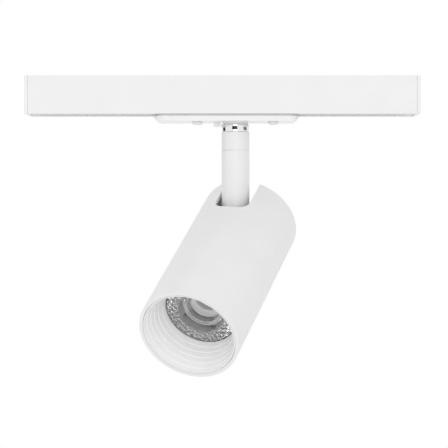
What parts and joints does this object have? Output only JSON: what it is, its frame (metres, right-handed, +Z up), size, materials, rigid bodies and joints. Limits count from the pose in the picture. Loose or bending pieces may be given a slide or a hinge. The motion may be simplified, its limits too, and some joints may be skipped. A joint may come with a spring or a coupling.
{
  "type": "track spotlight",
  "caption": "White cylindrical spotlight head with a stepped baffle, tilting on a swivel stem from an adapter that turn-locks into a short surface track.",
  "frame": {"origin": "centre of the track's ceiling face", "axes": "+Z up towards the ceiling, +X along the track to the right as seen from the front, -Y towards the viewer in front"},
  "size_m": [0.237, 0.1282, 0.177],
  "materials": {
    "powder_coat": "satin",
    "white_plastic": "satin",
    "baffle_plastic": "matte",
    "ivory_plastic": "matte",
    "knob_plastic": "satin",
    "copper": "satin",
    "spring_bronze": "satin",
    "zinc_steel": "satin",
    "bright_chrome": "polished",
    "bare_aluminium": "satin",
    "black_nylon": "matte",
    "black_rubber": "matte",
    "grey_rubber": "matte",
    "cable_sheath": "matte",
    "wire_sleeve": "satin",
    "circuit_board": "satin",
    "winding_tape": "gloss",
    "capacitor_sleeve": "gloss",
    "terminal_plastic": "satin",
    "ceramic_board": "matte",
    "phosphor": "gloss",
    "clear_lens": "gloss"
  },
  "bodies": {
    "track": {"track_profile": "powder_coat", "front_insulator": "ivory_plastic", "rear_insulator": "ivory_plastic", "live_conductor": "copper", "neutral_conductor": "copper", "left_end_cap": "white_plastic", "right_end_cap": "white_plastic"},
    "adapter": {"adapter_plate": "white_plastic", "adapter_housing": "white_plastic", "housing_lid": "white_plastic", "earth_spring": "spring_bronze", "plate_screw": "zinc_steel", "contact_terminals": "spring_bronze", "feed_bars": "copper", "swivel_bolt": "zinc_steel", "swivel_nut": "zinc_steel", "thrust_washer": "white_plastic", "friction_washer": "black_nylon"},
    "left_lock": {"left_lock_knob": "knob_plastic", "left_lock_cam": "zinc_steel", "left_contact_arm": "copper"},
    "right_lock": {"right_lock_knob": "knob_plastic", "right_lock_cam": "zinc_steel", "right_contact_arm": "copper"},
    "stem": {"bright_ring": "bright_chrome", "stop_pin": "zinc_steel", "upper_collar": "powder_coat", "stem_tube": "powder_coat", "stem_cable": "cable_sheath", "hinge_screws": "zinc_steel"},
    "head": {"head_shell": "powder_coat", "rear_plate": "powder_coat", "tie_screws": "zinc_steel", "hinge_bracket": "zinc_steel", "hinge_washers": "black_nylon", "cable_grommet": "black_rubber", "head_cable": "cable_sheath", "board_spacers": "white_plastic", "driver_board": "circuit_board", "driver_transformer": "winding_tape", "driver_capacitors": "capacitor_sleeve", "output_terminal": "terminal_plastic", "led_leads": "wire_sleeve", "heat_sink": "bare_aluminium", "bracket_screws": "zinc_steel", "thermal_pad": "grey_rubber", "led_board": "ceramic_board", "led_emitter": "phosphor", "led_holder": "white_plastic", "holder_screws": "zinc_steel", "lens": "clear_lens", "lens_cup": "white_plastic", "baffle": "baffle_plastic"}
  },
  "joints": [
    {"name": "adapter_slide", "type": "slide", "parent": "track", "child": "adapter", "axis": [1, 0, 0], "range_m": [-0.07, 0.065]},
    {"name": "left_lock_turn", "type": "hinge", "parent": "adapter", "child": "left_lock", "pos_m": [-0.0151, 0, -0.02], "axis": [0, 0, 1], "range_deg": [0, 90]},
    {"name": "right_lock_turn", "type": "hinge", "parent": "adapter", "child": "right_lock", "pos_m": [0.0309, 0, -0.02], "axis": [0, 0, 1], "range_deg": [0, 90]},
    {"name": "stem_swivel", "type": "hinge", "parent": "adapter", "child": "stem", "pos_m": [0.0079, 0, -0.031], "axis": [0, 0, 1], "range_deg": [-233, 96]},
    {"name": "head_tilt", "type": "hinge", "parent": "stem", "child": "head", "pos_m": [0.0079, 0, -0.0869], "axis": [0.9298, -0.3681, 0], "range_deg": [-33.7, 56.3]}
  ]
}
